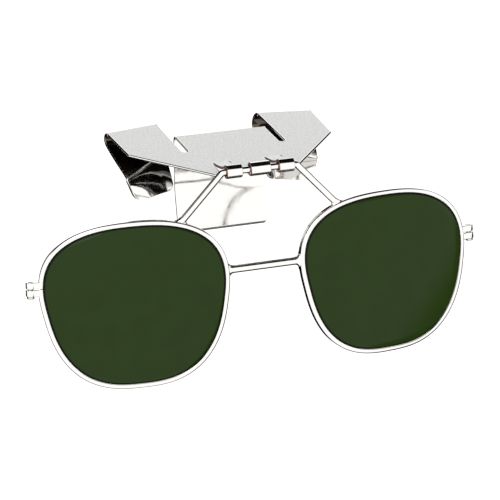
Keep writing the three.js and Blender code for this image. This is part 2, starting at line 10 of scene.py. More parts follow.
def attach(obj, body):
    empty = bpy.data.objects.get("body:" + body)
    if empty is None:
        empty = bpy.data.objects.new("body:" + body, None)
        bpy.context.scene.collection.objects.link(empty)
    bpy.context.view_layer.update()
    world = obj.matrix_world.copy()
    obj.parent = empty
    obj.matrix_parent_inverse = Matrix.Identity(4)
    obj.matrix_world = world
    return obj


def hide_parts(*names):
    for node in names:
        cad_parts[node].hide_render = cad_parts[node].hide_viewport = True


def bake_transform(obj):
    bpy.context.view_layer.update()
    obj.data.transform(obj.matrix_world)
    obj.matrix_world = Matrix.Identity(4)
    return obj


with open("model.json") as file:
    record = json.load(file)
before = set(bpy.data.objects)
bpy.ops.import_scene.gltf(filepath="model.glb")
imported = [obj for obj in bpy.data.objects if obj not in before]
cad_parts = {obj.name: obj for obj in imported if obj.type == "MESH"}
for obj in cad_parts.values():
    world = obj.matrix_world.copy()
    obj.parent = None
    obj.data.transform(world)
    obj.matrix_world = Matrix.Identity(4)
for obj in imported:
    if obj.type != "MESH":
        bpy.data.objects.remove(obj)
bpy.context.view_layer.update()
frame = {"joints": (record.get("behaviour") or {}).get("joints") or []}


# Camera
# The photograph was taken from in front, a little from the left and from above, with a long lens.
# The camera's place is a turn and a rise round the point in the middle of the picture.
MM = 0.001
PICTURE_MIDDLE = Vector((-2.93, -38.0, -14.19)) * MM
CAMERA_TURN = math.radians(-18.76)
CAMERA_RISE = math.radians(22.82)
CAMERA_DISTANCE = 644.3 * MM
CAMERA_LENS = 160.4


def new_object(name, data):
    """An object in the scene, at the origin."""
    made = bpy.data.objects.new(name, data)
    bpy.context.scene.collection.objects.link(made)
    return made


towards_camera = Vector((
    math.sin(CAMERA_TURN) * math.cos(CAMERA_RISE),
    -math.cos(CAMERA_TURN) * math.cos(CAMERA_RISE),
    math.sin(CAMERA_RISE),
))
camera = new_object("camera", bpy.data.cameras.new("camera"))
camera.data.lens = CAMERA_LENS
camera.location = PICTURE_MIDDLE + towards_camera * CAMERA_DISTANCE
camera.rotation_euler = towards_camera.to_track_quat("Z", "Y").to_euler()
bpy.context.scene.camera = camera
bpy.context.scene.view_settings.view_transform = "Standard"


# Studio
# Bright metal is photographed in a white tent, with dark cards round the background so that
# wires and edges are drawn by a dark line. The part hangs in the air well above a pale floor.
FLOOR_DROP = 350 * MM
FLOOR_HALF = 3000 * MM
FLOOR_COLOUR = "#F2F2F0"
FLOOR_LIFT = 0.3  # light of the paper's own, which brings it up to white
TENT_COLOUR = "#FFFFFF"
CARD_COLOUR = "#0D0B0A"
PANEL_STRENGTH = 1.55  # the panels are brighter than the background, so that nickel looks white
LAMP_POWER = 2.0
LAMP_SIZE = 500 * MM
LAMP_PLACE = Vector((-0.5, -0.7, 0.9))
MIX_A, MIX_B, MIX_RESULT = 6, 7, 2  # sockets of a Mix node for its two colours and the mixed one
UP = Vector((0, 0, 1))
ANYWHERE = -2.0  # less than any cosine

sideways = Vector((math.cos(CAMERA_TURN), math.sin(CAMERA_TURN), 0))
low_right = Vector((0.8, -0.1, -0.58)).normalized()
# Each card: the way to it, the least cosines to that way and to the photograph's line of sight at
# which a reflection meets it, and how far its edge fades to either side
CARDS = [
    (sideways, 0.37, 0.22, 0.04),
    (-sideways, 0.37, -0.05, 0.04),
    (UP, 0.58, -0.7, 0.04),
    (-UP, 0.6, 0.04, 0.04),
    (low_right, 0.79, ANYWHERE, 0.05),
]


def linear(colour):
    """Linear red, green, blue and alpha of an sRGB hex colour."""
    parts = [int(colour[i:i + 2], 16) / 255 for i in (1, 3, 5)]
    return [p / 12.92 if p <= 0.04045 else ((p + 0.055) / 1.055) ** 2.4 for p in parts] + [1.0]


def feed(tree, node, inputs):
    """Fills the inputs of a node, given as values or as sockets to link from."""
    for name, value in inputs.items():
        if isinstance(value, bpy.types.NodeSocket):
            tree.links.new(value, node.inputs[name])
        else:
            node.inputs[name].default_value = value


def add(tree, kind, inputs=None, **settings):
    """One node, with its settings and its inputs."""
    node = tree.nodes.new(kind)
    for name, value in settings.items():
        setattr(node, name, value)
    feed(tree, node, inputs or {})
    return node


world = bpy.data.worlds.new("white_tent")
bpy.context.scene.world = world
world.use_nodes = True
tent = world.node_tree
tent.nodes.clear()
rays = add(tent, "ShaderNodeLightPath")
heading = add(tent, "ShaderNodeTexCoord")
walls = [PANEL_STRENGTH * part for part in linear(TENT_COLOUR)]
for facing, least, behind, soft in CARDS:
    edges = []
    for direction, limit in ((facing, least), (-towards_camera, behind)):
        cosine = add(tent, "ShaderNodeVectorMath", {0: heading.outputs["Generated"], 1: direction},
                     operation="DOT_PRODUCT")
        edge = add(tent, "ShaderNodeMapRange", {"Value": cosine.outputs["Value"],
                   "From Min": limit - soft, "From Max": limit + soft})
        edges.append(edge.outputs[0])
    card = add(tent, "ShaderNodeMath", {0: edges[0], 1: edges[1]}, operation="MULTIPLY")
    covered = add(tent, "ShaderNodeMix", {"Factor": card.outputs[0], MIX_A: walls,
                  MIX_B: linear(CARD_COLOUR)}, data_type="RGBA")
    walls = covered.outputs[MIX_RESULT]
seen = add(tent, "ShaderNodeMix", {"Factor": rays.outputs["Is Glossy Ray"],
           MIX_A: linear(TENT_COLOUR), MIX_B: walls}, data_type="RGBA")
light = add(tent, "ShaderNodeBackground", {"Color": seen.outputs[MIX_RESULT], "Strength": 1.0})
add(tent, "ShaderNodeOutputWorld", {"Surface": light.outputs[0]})

floor_mesh = bpy.data.meshes.new("floor")
floor_corners = [(x * FLOOR_HALF, y * FLOOR_HALF, -FLOOR_DROP)
                 for x, y in ((-1, -1), (1, -1), (1, 1), (-1, 1))]
floor_mesh.from_pydata(floor_corners, [], [(0, 1, 2, 3)])
floor = new_object("floor", floor_mesh)
floor.visible_glossy = False  # the metal mirrors the tent alone

# Matt white paper. What is seen of it directly or through glass is lifted to white, less any shadow.
paper = bpy.data.materials.new("matt_white_paper")
paper.use_nodes = True
tree = paper.node_tree
tree.nodes.clear()
rays = add(tree, "ShaderNodeLightPath")
direct = add(tree, "ShaderNodeMath", {0: rays.outputs["Is Camera Ray"],
             1: rays.outputs["Is Transmission Ray"]}, operation="MAXIMUM")
lift = add(tree, "ShaderNodeMath", {0: direct.outputs[0], 1: FLOOR_LIFT}, operation="MULTIPLY")
matt = add(tree, "ShaderNodeBsdfDiffuse", {"Color": linear(FLOOR_COLOUR)})
glow = add(tree, "ShaderNodeEmission", {"Strength": lift.outputs[0]})
both = add(tree, "ShaderNodeAddShader", {0: matt.outputs[0], 1: glow.outputs[0]})
add(tree, "ShaderNodeOutputMaterial", {"Surface": both.outputs[0]})
floor_mesh.materials.append(paper)

lamp = new_object("soft_box", bpy.data.lights.new("soft_box", "AREA"))
lamp.data.energy = LAMP_POWER
lamp.data.size = LAMP_SIZE
lamp.location = LAMP_PLACE
lamp.rotation_euler = LAMP_PLACE.to_track_quat("Z", "Y").to_euler()


# Clip plate with its hinge knuckles
# One stamping of nickel-plated spring steel: a flat plate with two raked wings, two slots, and
# three tabs curled round the hinge wire. The two outer tabs are lanced from the plate and raised.
SHEET = 0.8
EDGE_ROUND = 0.37
TAB_EDGE_ROUND = 0.28
ROUND_SEGMENTS = 3
SHARP_ANGLE = math.radians(50)
HINGE_EDGE_HALF = 12.6
WING_FRONT = (31.6, 23.5)
WING_OUTER = (32.6, 43.0)
WING_INNER = (15.9, 46.0)
WING_CORNER_RADII = (0.9, 0.9)
WING_STEPS = (1, 4)  # along a straight run, and round a corner
CENTRE_HALF = 14.2
PLATE_DEPTH = 33.8
SLOT_END = 20.3
SLOT_HALF = 0.85
SLOT_STEPS = 8
MIDDLE_TAB = 2.95  # to either side of the middle
OUTER_TAB = (5.55, 10.15)
LANCE_LENGTH = 9.5
LANCE_SLIT = 0.2
LANCE_LAP = 0.6  # the plate runs on under the root of a raised tab
LANCE_SINK = 0.03  # and that root starts a little below the face of the plate
LANCE_RISE = 0.16  # slope of a raised tab at its root
LANCE_EASE = 0.42  # how far that slope carries, as a share of the raised length
LANCE_STEPS = 32
CURL_START = math.radians(40)  # a raised tab meets its curl this far behind the crest
CURL_RADIUS = 1.6  # at mid-sheet
MIDDLE_CURL = math.radians(265)
OUTER_CURL = math.radians(240)  # from the crest
CURL_STEPS = 56
HINGE_Y = -2.1
HINGE_Z = 1.2
NOISE_SPREAD = (0.3, 0.7)  # nearly all of a noise lies between these
FINE_DETAIL = 2.0  # octaves of a fine noise
SLOW_DETAIL = 1.0  # and of a slow one
SATIN_COLOURS = ("#A9A9A8", "#D6D6D5")
SATIN_METALLIC = 0.35
SATIN_ROUGHNESS = (0.3, 0.38)
SATIN_GRAIN = 0.5  # mm; the real blasted grain is nearer 0.1 and wouldn't show
SATIN_HARSHNESS = 0.6  # weight of the finer octaves of its grain
SATIN_PIT = 0.02
SATIN_BUMP = 0.25
BRIGHT_COLOUR = "#D6D4D1"
PLATING_ROUGHNESS = (0.05, 0.12)
PLATING_HAZE = 1.5
PLATING_DETAIL = 3.0
ROLLING_WAVE = 7.0
ROLLING_SWELL = 0.15
ROLLING_BUMP = 0.3
# Painted shade on the inside faces: warm and dark towards the back, inside the bends and under the
# plate
SHADE_INSIDE_COLOUR = "#4F4840"
SHADE_STARTS_AT = -3.0  # along the part, where the painted shade starts
SHADE_FULL_AT = 5.0  # and where the painted shade is full
# Sheared edges: brownish pink, darkened with painted shade for the shadowed gaps at the knuckle ends
SHEARED_AND_SHADE_COLOURS = ("#6E4C40", "#A5806F")
SHEARED_SPREAD = (0.35, 0.65)
SHEARED_ROUGHNESS = 0.35
SHEAR_TEAR = 0.3  # mm; the real tears are finer and wouldn't show
SHEAR_DEPTH = 0.03
SHEAR_BUMP = 0.3

joints = {joint["name"]: joint for joint in frame["joints"]}
# The plate's own frame is in millimetres, with its origin at the middle of the hinge edge
plate_frame = (
    Matrix.Translation(Vector(joints["lens_flip"]["pos_m"]))
    @ Matrix.Scale(MM, 4)
    @ Matrix.Translation((0, -HINGE_Y, -HINGE_Z))
)


def bent_line(corners, radii, steps):
    """Points along a line of straight runs whose corners are rounded, each to its own radius. The
    two steps are those along a run and those round a corner."""
    corners = [np.array(c, float) for c in corners]
    run_shares, corner_shares = [np.linspace(0, 1, count + 1) for count in steps]
    points = []
    start = corners[0]
    for before, corner, after, radius in zip(corners, corners[1:], corners[2:], radii):
        back = (before - corner) / np.linalg.norm(before - corner)
        ahead = (after - corner) / np.linalg.norm(after - corner)
        turn = math.pi - math.acos(np.clip(back @ ahead, -1, 1))
        reach = radius * math.tan(turn / 2)
        into, out = corner + back * reach, corner + ahead * reach
        points += [start + (into - start) * t for t in run_shares[:-1]]
        for t in corner_shares[:-1]:
            points.append((1 - t) ** 2 * into + 2 * t * (1 - t) * corner + t ** 2 * out)
        start = out
    points += [start + (corners[-1] - start) * t for t in run_shares]
    return np.array(points)


def round_edges(bm, edges, radius, finish=-1):
    """Rounds edges, the round taking a material slot of its own or those of the faces beside it."""
    bmesh.ops.bevel(bm, geom=edges, offset=radius, offset_type="OFFSET", segments=ROUND_SEGMENTS,
                    profile=0.5, affect="EDGES", clamp_overlap=True, material=finish)


def add_strip(bm, rows, faces, back, rim, edge_round):
    """A sheet laid on rows of mid-sheet points. Its first row butts on the sheet it grows from, and
    every other edge is rounded. faces, back and rim are the material slots of its sides, faces being
    one slot, or one for each row."""
    rows = np.asarray(rows, float)
    along = np.gradient(rows, axis=0)
    across = np.gradient(rows, axis=1)
    normal = np.cross(along, across)
    normal *= SHEET / 2 / np.linalg.norm(normal, axis=2, keepdims=True)
    count, width = rows.shape[:2]
    faces = np.broadcast_to(faces, count)
    top = [[bm.verts.new(p) for p in row] for row in rows + normal]
    under = [[bm.verts.new(p) for p in row] for row in rows - normal]
    made = []

    def close(corners, slot):
        quad = bm.faces.new(corners)
        quad.material_index = slot
        made.append(quad)

    for i in range(count - 1):
        for j in range(width - 1):
            close([top[i][j], top[i + 1][j], top[i + 1][j + 1], top[i][j + 1]], int(faces[i]))
            close([under[i][j], under[i][j + 1], under[i + 1][j + 1], under[i + 1][j]], back)
        for j in (0, width - 1):
            close([top[i][j], top[i + 1][j], under[i + 1][j], under[i][j]], rim)
    for i in (0, count - 1):
        for j in range(width - 1):
            close([top[i][j], top[i][j + 1], under[i][j + 1], under[i][j]], rim)
    bmesh.ops.recalc_face_normals(bm, faces=made)
    edges = []
    for side in (top, under):
        for j in (0, width - 1):
            edges += [bm.edges.get((side[i][j], side[i + 1][j])) for i in range(count - 1)]
        edges += [bm.edges.get((side[-1][j], side[-1][j + 1])) for j in range(width - 1)]
    round_edges(bm, edges, edge_round, rim)


def plain_mesh(piece):
    """Turns what a piece's modifiers make into its own mesh."""
    graph = bpy.context.evaluated_depsgraph_get()
    mesh = bpy.data.meshes.new_from_object(piece.evaluated_get(graph), depsgraph=graph)
    piece.modifiers.clear()
    piece.data = mesh
    return piece


def finished(bm, name, placing, finishes, mirrored=False):
    """A piece from a mesh in millimetres, put in place, smooth except at its sharp edges."""
    bm.transform(placing)
    if mirrored:
        bmesh.ops.reverse_faces(bm, faces=bm.faces)
    mesh = bpy.data.meshes.new(name)
    bm.to_mesh(mesh)
    bm.free()
    mesh.shade_smooth()
    mesh.set_sharp_from_angle(angle=SHARP_ANGLE)
    for finish in finishes:
        mesh.materials.append(finish)
    piece = new_object(name, mesh)
    piece.modifiers.new("flat_faces_stay_flat", "WEIGHTED_NORMAL").keep_sharp = True
    return plain_mesh(piece)


def new_finish(name):
    """A material, its tree and shader, and the place on the piece that its patterns follow."""
    finish = bpy.data.materials.new(name)
    finish.use_nodes = True
    tree = finish.node_tree
    place = add(tree, "ShaderNodeTexCoord").outputs["Object"]
    return finish, tree, tree.nodes["Principled BSDF"], place


def plated(tree, place):
    """Roughness and normal of nickel on rolled sheet: a faint haze, and slow waves in the steel."""
    haze = add(tree, "ShaderNodeTexNoise", {"Vector": place, "Scale": 1 / (PLATING_HAZE * MM),
               "Detail": PLATING_DETAIL})
    dull = add(tree, "ShaderNodeMapRange", {
        "Value": haze.outputs["Fac"], "From Min": NOISE_SPREAD[0], "From Max": NOISE_SPREAD[1],
        "To Min": PLATING_ROUGHNESS[0], "To Max": PLATING_ROUGHNESS[1]})
    wave = add(tree, "ShaderNodeTexNoise", {"Vector": place, "Scale": 1 / (ROLLING_WAVE * MM),
               "Detail": SLOW_DETAIL})
    swell = add(tree, "ShaderNodeBump", {"Height": wave.outputs["Fac"], "Strength": ROLLING_BUMP,
                "Distance": ROLLING_SWELL * MM})
    return {"Roughness": dull.outputs[0], "Normal": swell.outputs["Normal"]}


# Nickel plate over a fine blasted surface: pale grey from every side, because its pits scatter
# more light than they mirror, with a soft sheen and a fine grain
satin_nickel, tree, shader, place = new_finish("satin_nickel_blasted")
grain = add(tree, "ShaderNodeTexNoise", {"Vector": place, "Scale": 1 / (SATIN_GRAIN * MM),
            "Detail": FINE_DETAIL, "Roughness": SATIN_HARSHNESS})
tone = add(tree, "ShaderNodeValToRGB", {"Fac": grain.outputs["Fac"]})
for stop, position, colour in zip(tone.color_ramp.elements, NOISE_SPREAD, SATIN_COLOURS):
    stop.position = position
    stop.color = linear(colour)
dull = add(tree, "ShaderNodeMapRange", {
    "Value": grain.outputs["Fac"], "From Min": NOISE_SPREAD[0], "From Max": NOISE_SPREAD[1],
    "To Min": SATIN_ROUGHNESS[0], "To Max": SATIN_ROUGHNESS[1]})
pits = add(tree, "ShaderNodeBump", {"Height": grain.outputs["Fac"], "Strength": SATIN_BUMP,
           "Distance": SATIN_PIT * MM})
feed(tree, shader, {"Base Color": tone.outputs["Color"], "Metallic": SATIN_METALLIC,
     "Roughness": dull.outputs[0], "Normal": pits.outputs["Normal"]})

# Bright nickel plate on rolled steel: a mirror that the slow waves of the sheet bend a little
bright_nickel, tree, shader, place = new_finish("bright_nickel_plated")
feed(tree, shader, {"Base Color": linear(BRIGHT_COLOUR), "Metallic": 1.0, **plated(tree, place)})

# Nickel plate on inside faces: bright towards the front, with painted shade that makes it warm
# and dark towards the back, inside the bends and under the plate
inner_nickel_painted_shade, tree, shader, place = new_finish("nickel_plated_painted_shade")
along_part = add(tree, "ShaderNodeSeparateXYZ", {"Vector": place}).outputs["Y"]
painted_shade_share = add(tree, "ShaderNodeMapRange", {"Value": along_part, "From Min": SHADE_STARTS_AT * MM,
               "From Max": SHADE_FULL_AT * MM})
tone = add(tree, "ShaderNodeMix", {"Factor": painted_shade_share.outputs[0], MIX_A: linear(BRIGHT_COLOUR),
           MIX_B: linear(SHADE_INSIDE_COLOUR)}, data_type="RGBA")
feed(tree, shader, {"Base Color": tone.outputs[MIX_RESULT], "Metallic": 1.0,
     **plated(tree, place)})

# Sheared edge of the sheet: torn a little by the die, with the copper strike under the nickel
# showing through as a brownish pink, darkened by painted shade for the shadowed gaps at the
# knuckle ends
sheared_edge_and_shade, tree, shader, place = new_finish("sheared_edge_copper_painted_shade")
tears = add(tree, "ShaderNodeTexNoise", {"Vector": place, "Scale": 1 / (SHEAR_TEAR * MM),
            "Detail": FINE_DETAIL})
tone = add(tree, "ShaderNodeValToRGB", {"Fac": tears.outputs["Fac"]})
for stop, position, colour in zip(tone.color_ramp.elements, SHEARED_SPREAD, SHEARED_AND_SHADE_COLOURS):
    stop.position = position
    stop.color = linear(colour)
cuts = add(tree, "ShaderNodeBump", {"Height": tears.outputs["Fac"], "Strength": SHEAR_BUMP,
           "Distance": SHEAR_DEPTH * MM})
feed(tree, shader, {"Base Color": tone.outputs["Color"], "Metallic": 1.0,
     "Roughness": SHEARED_ROUGHNESS, "Normal": cuts.outputs["Normal"]})

SATIN, BRIGHT, SHEARED_AND_SHADE, INSIDE_PAINTED_SHADE = 0, 1, 2, 3
sheet_finishes = [satin_nickel, bright_nickel, sheared_edge_and_shade, inner_nickel_painted_shade]

slot_round = [
    (CENTRE_HALF + SLOT_HALF * (1 + math.cos(t)), SLOT_END + SLOT_HALF * (1 - math.sin(t)))
    for t in np.linspace(0, math.pi, SLOT_STEPS + 1)
]
wing = bent_line([(OUTER_TAB[1] + LANCE_SLIT, 0), (HINGE_EDGE_HALF, 0), WING_FRONT, WING_OUTER],
                 WING_CORNER_RADII, WING_STEPS)
right_half = [
    (MIDDLE_TAB, 0),
    (OUTER_TAB[0] - LANCE_SLIT, 0),
    (OUTER_TAB[0] - LANCE_SLIT, LANCE_LENGTH - LANCE_LAP),
    (OUTER_TAB[1] + LANCE_SLIT, LANCE_LENGTH - LANCE_LAP),
    *[tuple(p) for p in wing],
    WING_INNER,
    *slot_round,
    (CENTRE_HALF, PLATE_DEPTH),
]
outline = right_half + [(-x, y) for x, y in reversed(right_half)]
# The edges from which the middle tab and the tongues grow stay sharp
butts = {frozenset(((-x, y), (x, y))) for x, y in ((MIDDLE_TAB, 0), (CENTRE_HALF, PLATE_DEPTH))}
for side in (-1, 1):
    butts.add(frozenset((side * x, y) for x, y in (WING_OUTER, WING_INNER)))

bm = bmesh.new()
top = [bm.verts.new((x, y, 0)) for x, y in outline]
under = [bm.verts.new((x, y, -SHEET)) for x, y in outline]
bm.faces.new(top).material_index = SATIN
# The underside takes the inside nickel, with its painted shade
bm.faces.new(list(reversed(under))).material_index = INSIDE_PAINTED_SHADE
rounded = []
for i in range(len(outline)):
    j = (i + 1) % len(outline)
    bm.faces.new((top[j], top[i], under[i], under[j])).material_index = BRIGHT
    if frozenset((outline[i], outline[j])) not in butts:
        rounded += [bm.edges.get((top[i], top[j])), bm.edges.get((under[i], under[j]))]
bmesh.ops.recalc_face_normals(bm, faces=bm.faces)
round_edges(bm, rounded, EDGE_ROUND, BRIGHT)

middle = [(0, -SHEET / 2)]
middle += [(HINGE_Y - CURL_RADIUS * math.sin(t), HINGE_Z - CURL_RADIUS * math.cos(t))
           for t in np.linspace(0, MIDDLE_CURL, CURL_STEPS + 1)]
add_strip(bm, [[(x, y, z) for x in (-MIDDLE_TAB, MIDDLE_TAB)] for y, z in middle],
          BRIGHT, BRIGHT, SHEARED_AND_SHADE, TAB_EDGE_ROUND)

root = np.array((LANCE_LENGTH, -SHEET / 2 - LANCE_SINK))
meet = np.array((HINGE_Y + CURL_RADIUS * math.sin(CURL_START),
                 HINGE_Z + CURL_RADIUS * math.cos(CURL_START)))
carry = (root[0] - meet[0]) * LANCE_EASE
leave = root + (-carry, carry * LANCE_RISE)
arrive = meet + np.array((math.cos(CURL_START), -math.sin(CURL_START))) * carry / 2
raised = []
for t in np.linspace(0, 1, LANCE_STEPS + 1)[:-1]:
    raised.append((1 - t) ** 3 * root + 3 * t * (1 - t) ** 2 * leave
                  + 3 * t ** 2 * (1 - t) * arrive + t ** 3 * meet)
raised += [(HINGE_Y - CURL_RADIUS * math.sin(t), HINGE_Z + CURL_RADIUS * math.cos(t))
           for t in np.linspace(-CURL_START, OUTER_CURL, CURL_STEPS + 1)]
# Satin as far as the crest, and burnished by the curling die from there on
burnished = [SATIN if y > HINGE_Y else BRIGHT for y, z in raised]
for ends in (OUTER_TAB, (-OUTER_TAB[1], -OUTER_TAB[0])):
    add_strip(bm, [[(x, y, z) for x in ends] for y, z in raised], burnished, BRIGHT, SHEARED_AND_SHADE,
              TAB_EDGE_ROUND)
clip_sheet = finished(bm, "clip_sheet", plate_frame, sheet_finishes)
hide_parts("clip_plate")
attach(clip_sheet, "clip")


# Centre tongue
# The middle of the same stamping, bent straight down in front of the hat band, which lies on its
# back. It leans forward lower down to lead the band in, and ends in a short lip with round corners.
CENTRE_BEND = 1.4  # at mid-sheet
CENTRE_BEND_STEPS = 16
GRIP_BOTTOM = 16.8
LEAD = (13.35, math.radians(15))  # length and lean
LIP = (0.5, math.radians(45))
LEAD_RADII = (20.0, 0.8)
LEAD_STEPS = (8, 10)
LIP_CORNER_RADIUS = 1.2
TONGUE_COLUMNS = 14


def tongue_rows(rail_a, rail_b, columns, radius_a, radius_b):
    """Rows across a tongue from one edge rail to the other, its free corners rounded, and each
    point's share of the width."""
    steps = np.linalg.norm(np.diff(rail_a, axis=0), axis=1)
    to_tip = np.append(np.cumsum(steps[::-1])[::-1], 0)
    rows, shares = [], []
    for a, b, far in zip(rail_a, rail_b, to_tip):
        width = np.linalg.norm(b - a)
        inset = [(r - math.sqrt(r * r - max(r - far, 0) ** 2)) / width for r in (radius_a, radius_b)]
        share = np.linspace(inset[0], 1 - inset[1], columns)
        rows.append(a + (b - a) * share[:, None])
        shares.append(share)
    return np.array(rows), np.array(shares)


bend = [(PLATE_DEPTH + CENTRE_BEND * math.sin(t), CENTRE_BEND * (math.cos(t) - 1) - SHEET / 2)
        for t in np.linspace(0, math.pi / 2, CENTRE_BEND_STEPS + 1)]
hang = [bend[-1], (bend[-1][0], -GRIP_BOTTOM)]
for length, lean in (LEAD, LIP):
    hang.append((hang[-1][0] - length * math.sin(lean), hang[-1][1] - length * math.cos(lean)))
path = bend[:-1] + [tuple(p) for p in bent_line(hang, LEAD_RADII, LEAD_STEPS)]
rail = np.array([(CENTRE_HALF, y, z) for y, z in path])
rows = tongue_rows(rail, rail * (-1, 1, 1), TONGUE_COLUMNS, LIP_CORNER_RADIUS, LIP_CORNER_RADIUS)[0]
bm = bmesh.new()
add_strip(bm, rows, SATIN, BRIGHT, BRIGHT, EDGE_ROUND)
centre_tongue = finished(bm, "centre_tongue_sheet", plate_frame, sheet_finishes)
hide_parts("centre_tongue")
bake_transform(centre_tongue)


# Side tongues
# The ends of the wings, bent back under and run forward and down behind the hat band. Each steps
# down at a slanting crease, and is pressed a little hollow near its tip, which has round corners.
OUTER_BEND = 1.9  # at mid-sheet
INNER_BEND = 3.2
SIDE_BEND_ANGLE = math.radians(153)
FLARE_RATE = 1.5  # the inner edge has come in to its line two thirds of the way round the bend
TONGUE_CLEARANCE = 0.6  # side tongue to the edge of the centre tongue
OUTER_CREASE = (30.1, 31.2, -10.4)
OUTER_TIP = (27.75, 29.8, -18.1)
INNER_CREASE = (CENTRE_HALF + TONGUE_CLEARANCE, 43.4, -8.2)
INNER_TIP = (CENTRE_HALF + TONGUE_CLEARANCE, 33.5, -16.3)
CREASE_DROP = 0.9
CREASE_FORWARD = 0.02
KNEES = (0.14, 0.45)  # how far each edge runs on before it turns down to the tip
BEND_STEPS = 28
RUN_STEPS = 18
CREASE_STEPS = 7
LOBE_STEPS = 32
LOBE_CROWDING = 1.3  # the steps get closer towards the tip
HOLLOW_DEPTH = 0.6
HOLLOW_ROWS = (56, 80)  # where the hollow starts, past the crease, and where it is whole
HOLLOW_LINE = (0.6, 0.84)  # how far across it is deepest, from the outer edge, at the wing and the tip
TIP_CORNER_RADII = (3.4, 1.4)
SIDE_COLUMNS = 34
SIDES = (("left", -1), ("right", 1))

# Straight back from the slanting end of the right wing
wing_end = np.subtract(WING_OUTER, WING_INNER)
wing_back = np.array((-wing_end[1], wing_end[0], 0)) / np.linalg.norm(wing_end)


def ease(share):
    """A share from nought to one that starts and ends gently."""
    return share ** 2 * (3 - 2 * share)


def tongue_rail(corner, radius, flare, crease, tip, knee):
    """One edge of a side tongue: round the bend, on to the crease, and over a lobe to the tip."""
    crease, tip = np.array(crease), np.array(tip)
    rail = []
    for t in np.linspace(0, 1, BEND_STEPS + 1):
        turn = t * SIDE_BEND_ANGLE
        point = np.array((*corner, 0.0)) + wing_back * radius * math.sin(turn)
        inward = flare * ease(min(FLARE_RATE * t, 1))
        rail.append(point + (-inward, 0, radius * (math.cos(turn) - 1) - SHEET / 2))
    start = rail.pop()
    heading = (start - rail[-1]) / np.linalg.norm(start - rail[-1])
    span = np.linalg.norm(crease - start)
    run = (crease - start) / span
    bent = []
    for t in np.linspace(0, 1, RUN_STEPS + 1):
        bent.append((2 * t ** 3 - 3 * t ** 2 + 1) * start + (t ** 3 - 2 * t ** 2 + t) * heading * span
                    + (3 * t ** 2 - 2 * t ** 3) * crease + (t ** 3 - t ** 2) * run * span)
    for t in np.linspace(0, 1, CREASE_STEPS + 1)[1:-1]:
        bent.append(crease - (0, CREASE_FORWARD, CREASE_DROP * t))
    after = crease - (0, CREASE_FORWARD, CREASE_DROP)
    turned = after + run * np.linalg.norm(tip - after) * knee
    for t in 1 - (1 - np.linspace(0, 1, LOBE_STEPS + 1)) ** LOBE_CROWDING:
        bent.append((1 - t) ** 2 * after + 2 * t * (1 - t) * turned + t ** 2 * tip)
    bent = np.array(bent)
    # Softens the crease
    bent[1:-1] = (bent[:-2] + 2 * bent[1:-1] + bent[2:]) / 4
    return np.vstack((rail, bent))


inner_flare = WING_INNER[0] + wing_back[0] * INNER_BEND * math.sin(SIDE_BEND_ANGLE) - INNER_CREASE[0]
outer_rail = tongue_rail(WING_OUTER, OUTER_BEND, 0, OUTER_CREASE, OUTER_TIP, KNEES[0])
inner_rail = tongue_rail(WING_INNER, INNER_BEND, inner_flare, INNER_CREASE, INNER_TIP, KNEES[1])
rows, shares = tongue_rows(outer_rail, inner_rail, SIDE_COLUMNS, *TIP_CORNER_RADII)
backward = np.cross(np.gradient(rows, axis=0), np.gradient(rows, axis=1))
backward /= np.linalg.norm(backward, axis=2, keepdims=True)
past_start = (np.arange(len(rows)) - HOLLOW_ROWS[0]) / (HOLLOW_ROWS[1] - HOLLOW_ROWS[0])
pressed = ease(np.clip(past_start, 0, 1))[:, None]
deepest = np.linspace(*HOLLOW_LINE, len(rows))[:, None]
slopes = np.minimum(shares / deepest, (1 - shares) / (1 - deepest))
rows = rows + backward * (HOLLOW_DEPTH * pressed * slopes)[:, :, None]
for name, side in SIDES:
    bm = bmesh.new()
    # The back of each tongue takes the inside nickel, with its painted shade
    add_strip(bm, rows, SATIN, INSIDE_PAINTED_SHADE, BRIGHT, EDGE_ROUND)
    tongue_frame = plate_frame @ Matrix.Diagonal((side, 1, 1, 1))
    tongue = finished(bm, f"{name}_tongue_sheet", tongue_frame, sheet_finishes, side < 0)
    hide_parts(f"{name}_side_tongue")
    run = Vector((side * wing_back[0] * math.cos(SIDE_BEND_ANGLE),
                  wing_back[1] * math.cos(SIDE_BEND_ANGLE), -math.sin(SIDE_BEND_ANGLE)))
    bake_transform(tongue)


# Rims
# Each eye wire is drawn steel with a groove on its inside, bent round the lens and split at the
# temple. Nickel plated with the rest of the lens frame.
FRAME_TILT = math.radians(11.4)
LENS_CENTRES = 76.2
LENS_DROP = 35.8
LENS_SETBACK = 4.0
EYE_WRAP = math.radians(7.5)
EYE_WIDTH = 51.2
EYE_HEIGHT = 46.0
UPPER_SQUARENESS = 2.4
LOWER_SQUARENESS = 2.8
EYE_FLARE = 0.17
BASE_CURVE = 130.0
RIM_WIDTH = 1.3
RIM_DEPTH = 2.3
RIM_ROUND = 0.62
LIP_ROUND = 0.2
ROUND_STEPS = 6
GROOVE_DEPTH = 0.8
GROOVE_MOUTH = 1.6
GROOVE_FLOOR = 0.5
BLOCK_TURN = math.radians(16.4)
BLOCK_SLIT = 0.3
RIM_STEPS = 360
SMALL_TURN = 1e-3
SAME_POINT = 1e-5

eye_mean = (EYE_WIDTH + EYE_HEIGHT) / 4
hinge_frame = (
    Matrix.Translation(Vector(joints["lens_flip"]["pos_m"]))
    @ Matrix.Rotation(-FRAME_TILT, 4, "X")
    @ Matrix.Scale(MM, 4)
)
eye_frames = {
    side: hinge_frame
    @ Matrix.Translation((side * LENS_CENTRES / 2, LENS_SETBACK, -LENS_DROP))
    @ Matrix.Rotation(side * EYE_WRAP, 4, "Z")
    @ Matrix.Diagonal((side, 1, 1, 1))
    for name, side in SIDES
}


